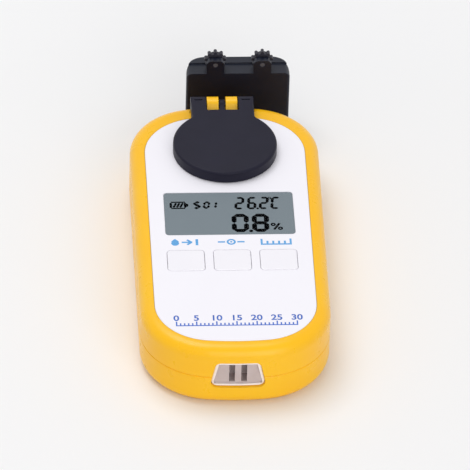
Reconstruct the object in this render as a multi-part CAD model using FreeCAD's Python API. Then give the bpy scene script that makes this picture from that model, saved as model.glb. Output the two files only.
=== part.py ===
import FreeCAD, Part
import math
import os

from FreeCAD import Vector

os.makedirs("parts", exist_ok=True)

# A handheld digital refractometer, lying face up on its flat underside.
# X runs across it, Y runs from the strap end to the hinge end and Z points up out of the face.
# The origin is the centre of the underside of the housing. All sizes are in millimetres.

# Housing seen from above
body_length = 121.0
body_half_width = 28.84
body_taper = 0.008
body_top_radius = 21.0
body_bottom_radius = 22.0
end_crown_radius = 85.0

# Housing seen from the side
face_height = 21.1
parting_height = 10.6
wall = 2.0
top_edge_round = 3.8
bottom_edge_round = 4.0
parting_groove = 0.25
gasket_width = 0.7
gasket_height = 0.6
gasket_inset = 0.65
gasket_clearance = 0.05

# White front panel, let into the upper housing
panel_thickness = 1.6
deck_thickness = 1.6
panel_half_width = 24.43
panel_taper = 0.006
panel_top_rim = 7.3
panel_bottom_rim = 4.7
panel_top_radius = 17.5
panel_bottom_radius = 17.0
panel_clearance = 0.1

# Display
display_y = 5.2
window_width = 39.5
window_height = 20.8
window_corner = 1.2
glass_corner = 0.6
window_recess = 0.1
window_lip = 1.8
window_lip_thickness = 0.6
window_clearance = 0.1
glass_width = 43.4
glass_height = 25.2
glass_thickness = 1.75
glass_clearance = 0.1
frame_wall = 1.2
frame_clearance = 0.2
strip_width = 2.2

# Keys
key_width = 11.2
key_height = 9.8
key_corner = 1.2
key_edge_round = 0.3
key_pitch = 14.0
key_y = -17.5
key_proud = 0.15
key_clearance = 0.12
key_flange = 0.8
key_flange_thickness = 0.65
key_play = 0.05
dome_radius = 4.0
dome_height = 0.6

# Main board
board_top = 15.8
board_thickness = 1.2
board_half_width = 21.5
board_bottom_y = -38.0
board_corner = 2.0
board_post_radius = 2.3
board_post_x = 18.0
board_post_low_y = -35.0
board_post_high_y = 21.6
board_screw_radius = 0.9
board_screw_reach = 2.6
board_part_gap = 2.0
processor_side = 8.0
processor_thickness = 1.2
processor_y = 0.0
converter_side = 5.0
converter_thickness = 1.0
converter_y = 8.5
memory_width = 4.0
memory_length = 5.0
memory_thickness = 1.1
memory_y = -1.5
crystal_width = 2.5
crystal_length = 7.0
crystal_height = 2.2
crystal_y = -10.5
buzzer_radius = 4.5
buzzer_height = 3.0
buzzer_y = -24.0
screw_clearance = 0.05
screw_tip_gap = 0.4

# Sample well and optics under the cover
well_y = 36.0
well_seal_gap = 0.2
well_bowl_radius = 10.0
well_floor_radius = 5.4
well_depth = 3.3
well_wall = 0.8
well_clearance = 0.1
prism_width = 6.0
prism_length = 7.0
prism_foot_length = 2.6
prism_depth = 5.0
prism_clearance = 0.3
prism_seal_width = 0.5
prism_seal_recess = 0.05
optics_half_width = 10.0
optics_half_length = 10.5
optics_bottom = 7.4
optics_gap = 0.2
optics_ear = 5.0
optics_ear_half_length = 3.0
optics_ear_thickness = 2.4
optics_bore_radius = 2.6
optics_part_clearance = 0.1
light_length = 4.0
light_depth = 5.2
lens_depth = 3.4
lens_surface_radius = 5.0
sensor_board_thickness = 1.0
sensor_board_half_width = 9.0
sensor_thickness = 1.1
sensor_half_size = 3.0
sensor_board_rise = 0.5
probe_radius = 0.9
probe_length = 5.0
probe_x = 5.0

# Battery bay, for one AAA cell
cell_radius = 5.15
cell_length = 43.3
cell_nub_radius = 1.9
cell_nub_length = 1.2
cell_edge_round = 0.5
cell_clearance = 0.5
bay_wall = 1.2
bay_bottom_y = -51.5
contact_thickness = 0.4
contact_half_width = 4.0
contact_spring_travel = 2.6

# Battery cover, which slides off over the strap end
cover_plate_half_width = 14.0
cover_plate_thickness = 1.4
cover_rail_width = 0.9
cover_rail_thickness = 0.6
cover_clearance = 0.2
cover_bed_margin = 3.0
cover_bed_thickness = 1.2
cover_lap = 1.6
grip_count = 5
grip_pitch = 2.0
grip_width = 0.9
grip_depth = 0.4
grip_half_length = 7.0
grip_first_y = -54.0

# Housing screws and their bosses
boss_x = 20.5
boss_top_y = 37.0
boss_bottom_y = -42.5
boss_radius = 3.0
housing_screw_radius = 1.0
housing_screw_length = 13.0
screw_head_radius = 1.8
screw_head_height = 1.5
screw_pocket_depth = 3.0
screw_pocket_clearance = 0.2
screw_cross_width = 0.5
screw_cross_share = 0.65
screw_cross_depth = 0.6

# Strap insert in the lower end
strap_top = 16.1
strap_bottom = 7.0
strap_half_width_top = 6.5
strap_half_width_bottom = 8.4
strap_corner = 1.8
strap_flange = 1.0
strap_depth = 6.5
strap_recess = 0.7
strap_slot_width = 1.7
strap_slot_spacing = 3.6
strap_slot_top = 15.0
strap_slot_bottom = 8.4
strap_wall = 1.3
strap_edge_round = 0.4
strap_rim = 0.9
strap_pocket = 0.5
strap_clearance = 0.1

# Hinge of the sample cover
hinge_above_face = 1.5
hinge_radius = 2.4
knuckle_width = 3.6
knuckle_spacing = 5.85
knuckle_panel_gap = 0.3
ear_gap = 0.3
ear_width = 4.7
ear_relief = 0.35
ear_slot_width = 2.6
ear_slot_length = 0.5
ear_slot_depth = 0.4
ear_slot_offset = 0.7
tongue_radius = 1.5
tongue_rise = 0.8
pin_radius = 0.75
pin_clearance = 0.03
pin_end_inset = 0.4

# Sample cover
lid_radius = 16.0
lid_gap = 0.3
lid_plate = 1.4
lid_wall = 1.5
lid_edge_round = 0.8
lid_neck_fillet = 2.5
neck_cut_gap = 3.5
lining_gap = 0.7
lining_thickness = 1.5
seal_wall_gap = 0.9
seal_width = 1.4
seal_thickness = 1.9

# Upright block behind the hinge
block_x = 5.6
block_front_y = 69.5
block_width = 32.3
block_depth = 8.0
block_height = 25.8
block_wall = 1.6
block_back_round = 6.0
block_front_round = 0.8
block_side_round = 2.0
block_step_depth = 5.0
block_step_rise = 0.5
block_base_thickness = 2.0
block_base_clearance = 0.1
arm_shift = 0.15
arm_width = 5.6
arm_spacing = 14.65
arm_thickness = 2.0
arm_rise = 4.8
arm_top_round = 1.7
wheel_drop = 1.6
wheel_tip_radius = 3.45
wheel_root_radius = 2.6
wheel_thickness = 1.6
wheel_teeth = 9
wheel_tooth_width = 1.05
wheel_gap = 0.25
wheel_slot_clearance = 0.4
axle_radius = 0.7
axle_clearance = 0.04
axle_head_radius = 1.2
axle_head_thickness = 0.5

# Levels and places that follow from the sizes above
body_end = body_length / 2
deck_top = face_height - panel_thickness
deck_bottom = deck_top - deck_thickness
notch_y = well_y + lid_radius
hinge_y = notch_y + neck_cut_gap + hinge_radius
hinge_z = face_height + hinge_above_face
lid_bottom = face_height + lid_gap
lid_top = hinge_z + hinge_radius
seal_outer_radius = lid_radius - lid_wall - seal_wall_gap
seal_inner_radius = seal_outer_radius - seal_width
well_flange_radius = seal_inner_radius - well_seal_gap
lining_radius = seal_inner_radius - lining_gap
board_bottom = board_top - board_thickness
glass_top = deck_top - window_lip_thickness - frame_clearance
glass_bottom = glass_top - glass_thickness
frame_width = glass_width + 2 * (glass_clearance + frame_wall)
frame_height = glass_height + 2 * (glass_clearance + frame_wall)
well_floor = face_height - well_depth
optics_top = well_floor - well_wall - optics_gap
optics_front = well_y - optics_half_length
optics_screw_x = optics_half_width + optics_ear / 2
sensor_back = optics_front - optics_part_clearance
sensor_board_y = sensor_back - sensor_thickness - sensor_board_thickness
cell_bay_half_width = cell_radius + cell_clearance
cell_z = cover_plate_thickness + cover_clearance + cell_clearance + cell_radius
bay_ceiling = cell_z + cell_radius + cell_clearance
cell_start = bay_bottom_y + contact_thickness + contact_spring_travel
bay_top_y = cell_start + cell_length + cell_nub_length + contact_thickness
cover_top_y = bay_top_y + cover_lap
cover_bed_top = cover_plate_thickness + cover_clearance + cover_bed_thickness
arm_top = block_height + arm_rise
wheel_z = arm_top - wheel_drop
wheel_front_y = block_front_y + arm_thickness + wheel_gap
wheel_places = [block_x + arm_shift - arm_spacing / 2, block_x + arm_shift + arm_spacing / 2]
ear_spacing = knuckle_spacing + knuckle_width + 2 * ear_gap + ear_width
tongue_width = knuckle_spacing - knuckle_width - 2 * ear_gap
knuckle_front = body_end - panel_top_rim + knuckle_panel_gap
knuckle_places = [-knuckle_spacing / 2, knuckle_spacing / 2]
ear_places = [-ear_spacing / 2, ear_spacing / 2]
key_places = [-key_pitch, 0.0, key_pitch]
boss_places = [(side * boss_x, y) for y in (boss_bottom_y, boss_top_y) for side in (-1, 1)]
post_places = [(side * board_post_x, y) for y in (board_post_low_y, board_post_high_y) for side in (-1, 1)]
optics_screw_places = [(side * optics_screw_x, well_y) for side in (-1, 1)]

# The faces of the prism that light crosses lean inwards, and the two bores stand square to them
prism_slant_run = (prism_length - prism_foot_length) / 2
prism_slant_drop = prism_depth - well_wall
prism_slant = math.hypot(prism_slant_run, prism_slant_drop)
bore_run = prism_slant_drop / prism_slant
bore_drop = prism_slant_run / prism_slant
bore_start_y = (prism_length + prism_foot_length) / 4
bore_start_z = well_floor - well_wall - prism_slant_drop / 2


def corner_arc(half_width, taper, end, radius, crown):
    """Tangent points and middle point of a rounded corner, for an end that lies at +Y."""
    slope = math.sqrt(1 + taper * taper)
    crown_y = end - crown
    offset = half_width - radius * slope
    a = 1 + taper * taper
    b = 2 * (offset * taper - crown_y)
    c = offset * offset + crown_y * crown_y - (crown - radius) ** 2
    centre_y = (-b + math.sqrt(b * b - 4 * a * c)) / (2 * a)
    centre_x = offset + taper * centre_y
    reach = crown / (crown - radius)
    end_point = (centre_x * reach, crown_y + (centre_y - crown_y) * reach)
    side_point = (centre_x + radius / slope, centre_y - taper * radius / slope)
    mid_x = end_point[0] + side_point[0] - 2 * centre_x
    mid_y = end_point[1] + side_point[1] - 2 * centre_y
    length = math.hypot(mid_x, mid_y)
    middle = (centre_x + radius * mid_x / length, centre_y + radius * mid_y / length)
    return end_point, middle, side_point


def mirrored(point):
    return Vector(-point.x, point.y, 0)


def plan(half_width, taper, top, bottom, top_radius, bottom_radius, inset):
    """Outline with crowned ends, rounded corners and slightly tapered sides, as a face at Z zero."""
    half = half_width - inset * math.sqrt(1 + taper * taper)
    crown = end_crown_radius - inset
    ends = []
    for end, radius, way in ((top, top_radius, 1), (-bottom, bottom_radius, -1)):
        points = corner_arc(half, taper * way, end - inset, radius - inset, crown)
        ends.append([Vector(x, y * way, 0) for x, y in points])
    top_end, top_middle, top_side = ends[0]
    bottom_end, bottom_middle, bottom_side = ends[1]
    edges = [
        Part.Arc(mirrored(top_end), Vector(0, top - inset, 0), top_end),
        Part.Arc(top_end, top_middle, top_side),
        Part.LineSegment(top_side, bottom_side),
        Part.Arc(bottom_side, bottom_middle, bottom_end),
        Part.Arc(bottom_end, Vector(0, bottom + inset, 0), mirrored(bottom_end)),
        Part.Arc(mirrored(bottom_end), mirrored(bottom_middle), mirrored(bottom_side)),
        Part.LineSegment(mirrored(bottom_side), mirrored(top_side)),
        Part.Arc(mirrored(top_side), mirrored(top_middle), mirrored(top_end)),
    ]
    return Part.Face(Part.Wire([edge.toShape() for edge in edges]))


def raised(face, bottom, top):
    moved = face.copy()
    moved.translate(Vector(0, 0, bottom))
    return moved.extrude(Vector(0, 0, top - bottom))


def body_solid(inset, bottom, top):
    outline = plan(body_half_width, body_taper, body_end, -body_end,
                   body_top_radius, body_bottom_radius, inset)
    return raised(outline, bottom, top)


def panel_solid(inset, bottom, top):
    outline = plan(panel_half_width, panel_taper, body_end - panel_top_rim,
                   panel_bottom_rim - body_end, panel_top_radius, panel_bottom_radius, inset)
    return raised(outline, bottom, top)


def slab(x0, x1, y0, y1, z0, z1):
    return Part.makeBox(x1 - x0, y1 - y0, z1 - z0, Vector(x0, y0, z0))


def rounded_slab(x, y, width, height, corner, z0, z1):
    """Upright block centred at x, y, with its four upright edges rounded."""
    solid = slab(x - width / 2, x + width / 2, y - height / 2, y + height / 2, z0, z1)
    upright = [edge for edge in solid.Edges if edge.BoundBox.ZLength > (z1 - z0) / 2]
    return solid.makeFillet(corner, upright)


def rod(x, y, radius, z0, z1):
    return Part.makeCylinder(radius, z1 - z0, Vector(x, y, z0))


def rod_x(x, width, y, z, radius):
    """Round bar along X, with the middle of its length at x."""
    return Part.makeCylinder(radius, width, Vector(x - width / 2, y, z), Vector(1, 0, 0))


def rod_y(x, y0, y1, z, radius):
    return Part.makeCylinder(radius, y1 - y0, Vector(x, y0, z), Vector(0, 1, 0))


def section_solid(points, x0, x1):
    """Solid whose straight-sided section in Y and Z runs from x0 to x1."""
    corners = [Vector(x0, y, z) for y, z in points]
    return Part.Face(Part.makePolygon(corners + corners[:1])).extrude(Vector(x1 - x0, 0, 0))


def level_edges(solid, height):
    """The edges that lie flat at one height."""
    boxes = [(edge, edge.BoundBox) for edge in solid.Edges]
    return [edge for edge, box in boxes if max(abs(box.ZMin - height), abs(box.ZMax - height)) < 0.001]


def edge_middle(edge):
    return edge.valueAt((edge.FirstParameter + edge.LastParameter) / 2)


def save(node, solids):
    """Writes one sub-part, as one solid or as a group of separate solids."""
    pieces = []
    for solid in solids:
        pieces.extend(solid.removeSplitter().Solids)
    for piece in pieces:
        if not piece.isValid():
            print("not valid:", node)
    shape = pieces[0] if len(pieces) == 1 else Part.makeCompound(pieces)
    shape.exportStep("parts/" + node + ".step")
    print(node, len(pieces), round(sum(piece.Volume for piece in pieces), 2))


def gasket_ring(clearance, bottom, top):
    outer = body_solid(gasket_inset - clearance, bottom, top)
    return outer.cut(body_solid(gasket_inset + gasket_width + clearance, bottom - 1, top + 1))


def strap_form(grow, y0, y1):
    """Rounded trapezoid of the strap insert, as a solid along Y."""
    upper = strap_half_width_top + grow
    lower = strap_half_width_bottom + grow
    corners = [Vector(-upper, y0, strap_top + grow), Vector(upper, y0, strap_top + grow),
               Vector(lower, y0, strap_bottom - grow), Vector(-lower, y0, strap_bottom - grow)]
    solid = Part.Face(Part.makePolygon(corners + corners[:1])).extrude(Vector(0, y1 - y0, 0))
    along = [edge for edge in solid.Edges if edge.BoundBox.YLength > (y1 - y0) / 2]
    return solid.makeFillet(strap_corner + grow, along)


def strap_hole():
    return strap_form(strap_clearance, -body_end - 1, -body_end + wall + 1)


def display_opening():
    return rounded_slab(0, display_y, frame_width + 2 * frame_clearance,
                        frame_height + 2 * frame_clearance, window_corner,
                        deck_bottom - 1, deck_top + 1)


def knuckle(x):
    """One hinge knuckle on the rim of the housing, with a ramp in front that meets its barrel."""
    barrel = rod_x(x, knuckle_width, hinge_y, hinge_z, hinge_radius)
    run = hinge_y - knuckle_front
    distance = math.hypot(run, hinge_above_face)
    slope = math.atan2(hinge_above_face, run) + math.asin(hinge_radius / distance)
    touch_y = hinge_y - hinge_radius * math.sin(slope)
    touch_z = hinge_z + hinge_radius * math.cos(slope)
    base = face_height - top_edge_round
    foot = section_solid([(knuckle_front, base), (knuckle_front, face_height), (touch_y, touch_z),
                          (hinge_y, hinge_z), (hinge_y + hinge_radius, hinge_z),
                          (hinge_y + hinge_radius, base)],
                         x - knuckle_width / 2, x + knuckle_width / 2)
    return barrel.fuse(foot)


def pin_bore(radius):
    return rod_x(0, ear_spacing + 2 * ear_width, hinge_y, hinge_z, radius)


def upper_housing():
    shell = body_solid(0, parting_height, face_height)
    shell = shell.makeFillet(top_edge_round, level_edges(shell, face_height))
    shell = shell.makeChamfer(parting_groove, level_edges(shell, parting_height))
    shell = shell.cut(body_solid(wall, parting_height - 1, deck_bottom))
    for x, y in boss_places:
        shell = shell.fuse(rod(x, y, boss_radius, parting_height, deck_bottom))
        tip = screw_pocket_depth + housing_screw_length + screw_tip_gap
        shell = shell.cut(rod(x, y, housing_screw_radius + screw_clearance, parting_height - 1, tip))
    for x, y in post_places:
        shell = shell.fuse(rod(x, y, board_post_radius, board_top, deck_bottom))
        tip = board_top + board_screw_reach + screw_tip_gap
        shell = shell.cut(rod(x, y, board_screw_radius + screw_clearance, board_top - 1, tip))
    shell = shell.cut(panel_solid(-panel_clearance, deck_top, face_height + 1))
    shell = shell.cut(display_opening())
    for x in key_places:
        shell = shell.cut(key_hole(x, deck_bottom - 1, deck_top + 1))
    shell = shell.cut(rod(0, well_y, well_bowl_radius + well_clearance, deck_bottom - 1, deck_top + 1))
    for x in ear_places:
        shell = shell.cut(rod_x(x, ear_width + 2 * ear_relief, hinge_y, hinge_z,
                                hinge_radius + ear_relief))
    shell = shell.cut(rod_x(0, knuckle_spacing, hinge_y, hinge_z, tongue_radius + ear_relief))
    for x in knuckle_places:
        shell = shell.fuse(knuckle(x))
    shell = shell.cut(pin_bore(pin_radius + pin_clearance))
    shell = shell.cut(strap_hole())
    return shell.cut(gasket_ring(gasket_clearance, parting_height - 1, parting_height + gasket_height / 2))


def cover_recess():
    """Room for the battery cover and its rails in the underside, open at the strap end."""
    half = cover_plate_half_width + cover_clearance
    top = cover_plate_thickness + cover_clearance
    end = cover_top_y + cover_clearance
    rail_bottom = cover_plate_thickness - cover_rail_thickness - cover_clearance
    rails = slab(-half - cover_rail_width, half + cover_rail_width, -body_end - 1, end, rail_bottom, top)
    return slab(-half, half, -body_end - 1, end, -1, top).fuse(rails)


def lower_housing():
    outside = body_solid(0, 0, parting_height)
    outside = outside.makeFillet(bottom_edge_round, level_edges(outside, 0))
    outside = outside.makeChamfer(parting_groove, level_edges(outside, parting_height))
    shell = outside.cut(body_solid(wall, wall, parting_height + 1))
    bed_half = cover_plate_half_width + cover_rail_width + cover_bed_margin
    bed = slab(-bed_half, bed_half, -body_end, cover_top_y + cover_bed_margin, 0, cover_bed_top)
    shell = shell.fuse(bed.common(outside))
    bay_half = cell_bay_half_width + bay_wall
    bay = slab(-bay_half, bay_half, bay_bottom_y - bay_wall, bay_top_y + bay_wall,
               wall, bay_ceiling + bay_wall)
    shell = shell.fuse(bay)
    for x, y in boss_places:
        shell = shell.fuse(rod(x, y, boss_radius, wall, parting_height))
    for x, y in optics_screw_places:
        shell = shell.fuse(rod(x, y, optics_ear / 2, wall, optics_bottom))
        shell = shell.cut(rod(x, y, board_screw_radius + screw_clearance, wall + 1, optics_bottom + 1))
    shell = shell.cut(slab(-cell_bay_half_width, cell_bay_half_width, bay_bottom_y, bay_top_y,
                           -1, bay_ceiling))
    shell = shell.cut(cover_recess())
    for x, y in boss_places:
        shell = shell.cut(rod(x, y, housing_screw_radius + screw_clearance, -1, parting_height + 1))
        shell = shell.cut(rod(x, y, screw_head_radius + screw_pocket_clearance, -1, screw_pocket_depth))
    shell = shell.cut(strap_hole())
    return shell.cut(gasket_ring(gasket_clearance, parting_height - gasket_height / 2, parting_height + 1))


def housing_gasket():
    ring = gasket_ring(0, parting_height - gasket_height / 2, parting_height + gasket_height / 2)
    return ring.cut(strap_hole())


def front_panel():
    panel = panel_solid(0, deck_top, face_height)
    panel = panel.cut(rounded_slab(0, display_y, window_width, window_height, window_corner,
                                   deck_top - 1, face_height + 1))
    for x in key_places:
        panel = panel.cut(key_hole(x, deck_top - 1, face_height + 1))
    return panel.cut(rod(0, well_y, well_flange_radius + well_clearance, deck_top - 1, face_height + 1))


def display_window():
    plug = rounded_slab(0, display_y, window_width - 2 * window_clearance,
                        window_height - 2 * window_clearance, window_corner,
                        deck_top, face_height - window_recess)
    lip = rounded_slab(0, display_y, window_width + 2 * window_lip, window_height + 2 * window_lip,
                       window_corner, deck_top - window_lip_thickness, deck_top)
    return plug.fuse(lip)


def display_frame():
    outer = rounded_slab(0, display_y, frame_width, frame_height, window_corner, board_top, glass_top)
    return outer.cut(rounded_slab(0, display_y, frame_width - 2 * frame_wall,
                                  frame_height - 2 * frame_wall, glass_corner,
                                  board_top - 1, glass_top + 1))


def display_glass():
    return rounded_slab(0, display_y, glass_width, glass_height, glass_corner,
                        glass_bottom, glass_top)


def contact_strips():
    """The two conductive rubber strips between the display glass and the main board."""
    half = glass_width / 2 - strip_width
    offset = glass_height / 2 - strip_width / 2
    return [slab(-half, half, display_y + side * offset - strip_width / 2,
                 display_y + side * offset + strip_width / 2, board_top, glass_bottom)
            for side in (-1, 1)]


def key_hole(x, bottom, top):
    return rounded_slab(x, key_y, key_width + 2 * key_clearance, key_height + 2 * key_clearance,
                        key_corner + key_clearance, bottom, top)


def key(x):
    flange_top = deck_bottom - key_play
    flange_bottom = flange_top - key_flange_thickness
    cap = rounded_slab(x, key_y, key_width, key_height, key_corner, flange_bottom,
                       face_height + key_proud)
    cap = cap.makeFillet(key_edge_round, level_edges(cap, face_height + key_proud))
    flange = rounded_slab(x, key_y, key_width + 2 * key_flange, key_height + 2 * key_flange,
                          key_corner, flange_bottom, flange_top)
    return cap.fuse(flange)


def dome_switch(x):
    """Shallow metal snap dome on the board, under one key."""
    ball_radius = (dome_radius ** 2 + dome_height ** 2) / (2 * dome_height)
    ball = Part.makeSphere(ball_radius, Vector(x, key_y, board_top + dome_height - ball_radius))
    return ball.common(rod(x, key_y, dome_radius + 1, board_top, board_top + dome_height + 1))


def main_board():
    width = 2 * board_half_width
    height = sensor_board_y - board_bottom_y
    board = rounded_slab(0, board_bottom_y + height / 2, width, height, board_corner,
                         board_bottom, board_top)
    for x, y in post_places:
        board = board.cut(rod(x, y, board_screw_radius + screw_clearance, board_bottom - 1, board_top + 1))
    return board


def board_parts():
    """Processor, converter, memory, crystal and buzzer on the underside of the main board."""
    side = cell_bay_half_width + bay_wall + board_part_gap
    parts = []
    for width, length, y, thickness, way in (
            (processor_side, processor_side, processor_y, processor_thickness, -1),
            (converter_side, converter_side, converter_y, converter_thickness, 1),
            (memory_width, memory_length, memory_y, memory_thickness, 1),
            (crystal_width, crystal_length, crystal_y, crystal_height, 1)):
        x = way * (side + width / 2)
        parts.append(slab(x - width / 2, x + width / 2, y - length / 2, y + length / 2,
                          board_bottom - thickness, board_bottom))
    parts.append(rod(side + buzzer_radius, buzzer_y, buzzer_radius, board_bottom - buzzer_height,
                     board_bottom))
    return parts


def cross_slot(x, y, bottom, top):
    reach = screw_head_radius * screw_cross_share
    half = screw_cross_width / 2
    return slab(x - reach, x + reach, y - half, y + half, bottom, top).fuse(
        slab(x - half, x + half, y - reach, y + reach, bottom, top))


def screw_from_below(x, y, seat, radius, length):
    head = rod(x, y, screw_head_radius, seat - screw_head_height, seat)
    head = head.cut(cross_slot(x, y, seat - screw_head_height - 1,
                               seat - screw_head_height + screw_cross_depth))
    return head.fuse(rod(x, y, radius, seat, seat + length))


def optics_screw(x, y):
    seat = optics_bottom + optics_ear_thickness
    top = seat + screw_head_height
    head = rod(x, y, screw_head_radius, seat, top)
    head = head.cut(cross_slot(x, y, top - screw_cross_depth, top + 1))
    return head.fuse(rod(x, y, board_screw_radius, wall + 1 + screw_tip_gap, seat))


def sample_well():
    """Stainless dish with a flat flange, a sloping bowl and a window for the prism."""
    flange = rod(0, well_y, well_flange_radius, deck_top, face_height)
    underside = well_floor - well_wall
    centre = Vector(0, well_y, underside)
    outer = Part.makeCone(well_floor_radius + well_wall, well_bowl_radius, deck_top - underside, centre)
    hollow = Part.makeCone(well_floor_radius, well_bowl_radius - well_wall / 2, well_depth,
                           Vector(0, well_y, well_floor))
    dish = flange.fuse(outer).cut(hollow)
    half_x = prism_width / 2 + prism_seal_width
    half_y = prism_length / 2 + prism_seal_width
    return dish.cut(slab(-half_x, half_x, well_y - half_y, well_y + half_y, underside - 1, well_floor + 1))


def prism_section(grow):
    top = prism_length / 2 + grow
    foot = prism_foot_length / 2 + grow
    shoulder = well_floor - well_wall
    bottom = well_floor - prism_depth - grow
    points = [(-top, well_floor), (top, well_floor), (top, shoulder), (foot, bottom),
              (-foot, bottom), (-top, shoulder)]
    return [(well_y + y, z) for y, z in points]


def prism():
    return section_solid(prism_section(0), -prism_width / 2, prism_width / 2)


def prism_seal():
    half_x = prism_width / 2 + prism_seal_width
    half_y = prism_length / 2 + prism_seal_width
    ring = slab(-half_x, half_x, well_y - half_y, well_y + half_y, well_floor - well_wall,
                well_floor - prism_seal_recess)
    return ring.cut(slab(-prism_width / 2, prism_width / 2, well_y - prism_length / 2,
                         well_y + prism_length / 2, well_floor - well_wall - 1, well_floor + 1))


def along_bore(way, start, length, radius):
    """Round bar on the axis of one optics bore, which leaves the prism towards -Y or +Y."""
    origin = Vector(0, well_y + way * (bore_start_y + start * bore_run), bore_start_z - start * bore_drop)
    return Part.makeCylinder(radius, length, origin, Vector(0, way * bore_run, -bore_drop))


def optics_block():
    body = slab(-optics_half_width, optics_half_width, optics_front, well_y + optics_half_length,
                optics_bottom, optics_top)
    reach = optics_half_width + optics_ear
    ears = slab(-reach, reach, well_y - optics_ear_half_length, well_y + optics_ear_half_length,
                optics_bottom, optics_bottom + optics_ear_thickness)
    body = body.fuse(ears)
    half = prism_width / 2 + prism_clearance
    body = body.cut(section_solid(prism_section(prism_clearance), -half, half))
    for way in (-1, 1):
        body = body.cut(along_bore(way, 0, 2 * optics_half_length, optics_bore_radius))
    for side in (-1, 1):
        body = body.cut(rod(side * probe_x, well_y, probe_radius + optics_part_clearance,
                            optics_top - probe_length, optics_top + 1))
    for x, y in optics_screw_places:
        body = body.cut(rod(x, y, board_screw_radius + screw_clearance, optics_bottom - 1, optics_top))
    return body


def light_source():
    radius = optics_bore_radius - optics_part_clearance
    lamp = along_bore(1, light_depth, light_length, radius)
    tip = Vector(0, well_y + bore_start_y + light_depth * bore_run, bore_start_z - light_depth * bore_drop)
    return lamp.fuse(Part.makeSphere(radius, tip))


def collimating_lens():
    """Lens with two equal round faces, across the bore on the sensor side."""
    sag = lens_surface_radius - math.sqrt(
        lens_surface_radius ** 2 - (optics_bore_radius - optics_part_clearance) ** 2)
    balls = []
    for shift in (-1, 1):
        depth = lens_depth + shift * (lens_surface_radius - sag)
        centre = Vector(0, well_y - bore_start_y - depth * bore_run, bore_start_z - depth * bore_drop)
        balls.append(Part.makeSphere(lens_surface_radius, centre))
    return balls[0].common(balls[1])


def sensor_centre_z():
    return bore_start_z - (optics_half_length - bore_start_y) / bore_run * bore_drop


def image_sensor():
    z = sensor_centre_z()
    return slab(-sensor_half_size, sensor_half_size, sensor_back - sensor_thickness, sensor_back,
                z - sensor_half_size, z + sensor_half_size)


def sensor_board():
    return slab(-sensor_board_half_width, sensor_board_half_width, sensor_board_y,
                sensor_board_y + sensor_board_thickness, optics_bottom, board_top + sensor_board_rise)


def temperature_probe():
    return [rod(side * probe_x, well_y, probe_radius, optics_top - probe_length, optics_top + optics_gap)
            for side in (-1, 1)]


def battery():
    can = rod_y(0, cell_start, cell_start + cell_length, cell_z, cell_radius)
    can = can.makeFillet(cell_edge_round, can.Edges)
    nub_start = cell_start + cell_length
    return can.fuse(rod_y(0, nub_start - cell_edge_round, nub_start + cell_nub_length, cell_z,
                          cell_nub_radius))


def battery_plate():
    return slab(-contact_half_width, contact_half_width, bay_top_y - contact_thickness, bay_top_y,
                cell_z - contact_half_width, cell_z + contact_half_width)


def battery_spring():
    """Leaf contact, bowed out from the end wall of the bay to the flat end of the cell."""
    back = bay_bottom_y
    front = cell_start
    reach = contact_half_width
    flat = reach / 3
    bow = [(back, cell_z - reach), (back + contact_thickness, cell_z - reach),
           (front, cell_z - flat), (front, cell_z + flat),
           (back + contact_thickness, cell_z + reach), (back, cell_z + reach),
           (back, cell_z + reach - contact_thickness), (front - contact_thickness, cell_z + flat),
           (front - contact_thickness, cell_z - flat), (back, cell_z - reach + contact_thickness)]
    return section_solid(bow, -contact_half_width, contact_half_width)


def battery_cover():
    """Sliding cover, cut to the underside of the housing, with a rail along each side."""
    outside = body_solid(0, 0, parting_height)
    outside = outside.makeFillet(bottom_edge_round, level_edges(outside, 0))
    half = cover_plate_half_width
    rail_bottom = cover_plate_thickness - cover_rail_thickness
    plate = slab(-half, half, -body_end, cover_top_y, 0, cover_plate_thickness)
    rails = slab(-half - cover_rail_width, half + cover_rail_width, -body_end, cover_top_y,
                 rail_bottom, cover_plate_thickness)
    cover = plate.fuse(rails).common(outside)
    for number in range(grip_count):
        y = grip_first_y + number * grip_pitch
        cover = cover.cut(slab(-grip_half_length, grip_half_length, y, y + grip_width, -1, grip_depth))
    return cover


def strap_insert():
    """White cup in the notch of the lower end, its face sunk inside a rim, with two cord slots."""
    front = strap_form(0, -body_end - 1, -body_end + strap_depth).common(
        body_solid(strap_recess, 0, face_height))
    flange = strap_form(strap_flange, -body_end, -body_end + wall + strap_wall).common(
        body_solid(wall + strap_clearance, 0, face_height))
    rim = [edge for edge in front.Edges if edge_middle(edge).y < strap_recess + strap_edge_round - body_end
           and edge.BoundBox.YLength < strap_edge_round]
    insert = front.makeFillet(strap_edge_round, rim).fuse(flange)
    hollow = strap_form(-strap_wall, -body_end - 1, -body_end + strap_depth - strap_wall).common(
        body_solid(strap_recess + strap_wall, 0, face_height))
    pocket = strap_form(-strap_rim, -body_end - 1, -body_end + wall).cut(
        body_solid(strap_recess + strap_pocket, 0, face_height))
    insert = insert.cut(hollow).cut(pocket)
    for side in (-1, 1):
        x = side * strap_slot_spacing / 2
        insert = insert.cut(slab(x - strap_slot_width / 2, x + strap_slot_width / 2, -body_end - 1,
                                 -body_end + wall + strap_wall, strap_slot_bottom, strap_slot_top))
    return insert


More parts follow.
